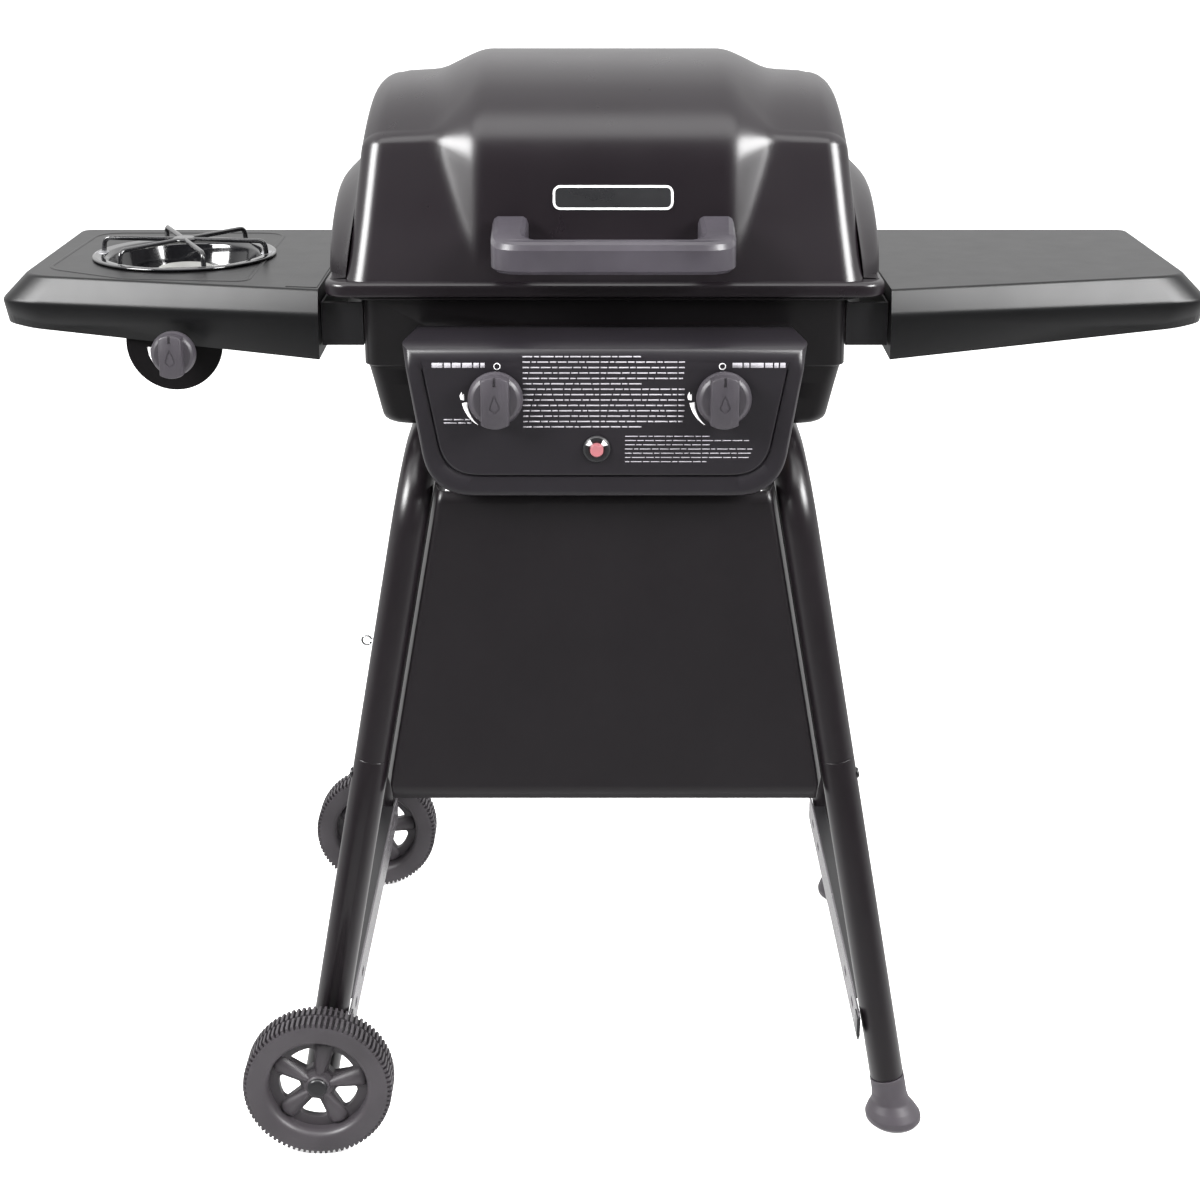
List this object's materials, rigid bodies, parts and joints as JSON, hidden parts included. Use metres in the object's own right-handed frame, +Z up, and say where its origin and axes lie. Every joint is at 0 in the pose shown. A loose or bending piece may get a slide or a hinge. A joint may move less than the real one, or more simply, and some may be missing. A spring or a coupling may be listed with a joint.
{
  "type": "gas barbecue grill",
  "caption": "Free-standing gas barbecue grill with a hinged lid over a firebox, a control panel, side shelves, a side burner, splayed tube legs, wheels and feet.",
  "frame": {"origin": "on the floor, under the middle of the grill's width and depth", "axes": "+Z up, +X along the width towards the plain right shelf, -Y towards the cook in front of the control panel"},
  "size_m": [1.204, 0.63, 1.091],
  "materials": {
    "black_paint": "satin black enamel paint",
    "gunmetal_paint": "satin gunmetal paint",
    "grey_paint": "satin dark grey paint",
    "dark_plastic": "moulded black plastic",
    "knob_plastic": "satin black plastic",
    "red_plastic": "glossy red plastic",
    "enamel": "glossy black vitreous enamel",
    "bright_steel": "bright steel",
    "chrome": "polished chrome",
    "zinc": "zinc-plated steel",
    "brass": "machined brass",
    "cast_iron": "seasoned cast iron",
    "burner_alloy": "dull cast aluminium",
    "ceramic": "glazed white ceramic"
  },
  "bodies": {
    "stand": {"axle": "bright_steel", "burner_left": "bright_steel", "burner_right": "bright_steel", "control_panel": "gunmetal_paint", "cooking_grate_left": "cast_iron", "cooking_grate_right": "cast_iron", "firebox": "black_paint", "foot_front": "dark_plastic", "foot_rear": "dark_plastic", "gas_inlet": "brass", "gas_manifold": "zinc", "grate_ledge": "cast_iron", "grease_runner_left": "zinc", "grease_runner_right": "zinc", "heat_tent_left": "zinc", "heat_tent_right": "zinc", "hinge_bracket_left": "black_paint", "hinge_bracket_right": "black_paint", "hinge_rod": "bright_steel", "igniter_housing": "dark_plastic", "leg_frame_left": "black_paint", "leg_frame_right": "black_paint", "lower_leg_left_front": "black_paint", "lower_leg_left_rear": "black_paint", "lower_leg_right_front": "black_paint", "lower_leg_right_rear": "black_paint", "match_holder": "chrome", "rear_brace": "black_paint", "shelf_bracket_left": "black_paint", "shelf_bracket_right": "black_paint", "shelf_left": "grey_paint", "shelf_right": "grey_paint", "side_burner_bowl": "enamel", "side_burner_head": "burner_alloy", "side_knob_plate": "black_paint", "side_rail_left": "black_paint", "side_rail_right": "black_paint", "spark_electrode": "ceramic", "tank_shield": "black_paint", "valve_left": "brass", "valve_right": "brass", "valve_side": "brass", "warming_rack": "bright_steel"},
    "lid": {"lid_shell": "black_paint", "lid_handle": "dark_plastic", "lid_hinge_ear_left": "black_paint", "lid_hinge_ear_right": "black_paint"},
    "igniter_push_button": {"igniter_button": "red_plastic"},
    "front_wheel": {"wheel_front": "dark_plastic", "hub_cap_front": "dark_plastic"},
    "rear_wheel": {"wheel_rear": "dark_plastic", "hub_cap_rear": "dark_plastic"},
    "pot_grid": {"pot_support": "enamel"},
    "grease_drawer": {"grease_tray": "zinc"},
    "left_stem": {"valve_stem_left": "bright_steel"},
    "left_knob": {"knob_left": "knob_plastic"},
    "right_stem": {"valve_stem_right": "bright_steel"},
    "right_knob": {"knob_right": "knob_plastic"},
    "side_stem": {"valve_stem_side": "bright_steel"},
    "side_knob": {"knob_side": "knob_plastic"}
  },
  "joints": [
    {"name": "lid_hinge", "type": "hinge", "parent": "stand", "child": "lid", "pos_m": [0, 0.158, 0.878], "axis": [-1, 0, 0], "range_deg": [0, 95]},
    {"name": "igniter_push", "type": "slide", "parent": "stand", "child": "igniter_push_button", "axis": [0, 1, 0], "range_m": [0, 0.005], "stiffness_N_per_m": 300},
    {"name": "front_wheel_spin", "type": "hinge", "parent": "stand", "child": "front_wheel", "pos_m": [-0.29296, -0.296, 0.0762], "axis": [0, 1, 0], "continuous": true},
    {"name": "rear_wheel_spin", "type": "hinge", "parent": "stand", "child": "rear_wheel", "pos_m": [-0.29296, 0.296, 0.0762], "axis": [0, 1, 0], "continuous": true},
    {"name": "pot_grid_lift", "type": "slide", "parent": "stand", "child": "pot_grid", "axis": [0, 0, 1], "range_m": [0, 0.06]},
    {"name": "grease_drawer_slide", "type": "slide", "parent": "stand", "child": "grease_drawer", "axis": [0, 1, 0], "range_m": [0, 0.14]},
    {"name": "left_knob_push", "type": "slide", "parent": "stand", "child": "left_stem", "axis": [0, 1, 0], "range_m": [0, 0.004], "stiffness_N_per_m": 400},
    {"name": "left_knob_turn", "type": "hinge", "parent": "left_stem", "child": "left_knob", "pos_m": [-0.1012, -0.293, 0.797], "axis": [0, -1, 0], "range_deg": [0, 150]},
    {"name": "right_knob_push", "type": "slide", "parent": "stand", "child": "right_stem", "axis": [0, 1, 0], "range_m": [0, 0.004], "stiffness_N_per_m": 400},
    {"name": "right_knob_turn", "type": "hinge", "parent": "right_stem", "child": "right_knob", "pos_m": [0.1102, -0.293, 0.797], "axis": [0, -1, 0], "range_deg": [0, 150]},
    {"name": "side_knob_push", "type": "slide", "parent": "stand", "child": "side_stem", "axis": [0, 1, 0], "range_m": [0, 0.004], "stiffness_N_per_m": 400},
    {"name": "side_knob_turn", "type": "hinge", "parent": "side_stem", "child": "side_knob", "pos_m": [-0.4185, -0.185, 0.815], "axis": [0, -1, 0], "range_deg": [0, 150]}
  ]
}
